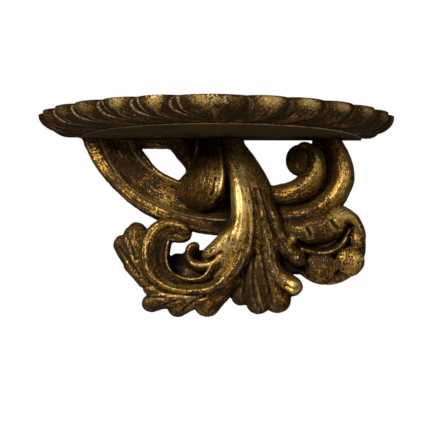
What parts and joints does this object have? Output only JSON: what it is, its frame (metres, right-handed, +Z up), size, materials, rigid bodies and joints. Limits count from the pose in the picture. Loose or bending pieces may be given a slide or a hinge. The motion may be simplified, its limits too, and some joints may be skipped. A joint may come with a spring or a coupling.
{
  "type": "carved giltwood wall bracket",
  "caption": "Half-oval wall shelf with a gadrooned edge on a pierced support of carved scrolls, acanthus leaves and a shell pod, finished in worn antique gilding.",
  "frame": {"origin": "middle of the shelf's flat back face, half way up its thickness, on the wall plane", "axes": "+Z up, +Y into the wall, so the front faces -Y, and +X to the right as seen from the front"},
  "size_m": [0.3556, 0.16, 0.1987],
  "materials": {
    "gilt_shelf": "worn antique gilding over dark brown ground, satin, brighter on the lobe crests, bare brown under the shelf",
    "gilt_carving": "worn antique gold leaf over dark red-brown ground, burnished on the crests and nearly black in the hollows"
  },
  "bodies": {
    "root": {"shelf": "gilt_shelf", "carved_support": "gilt_carving"}
  },
  "joints": []
}
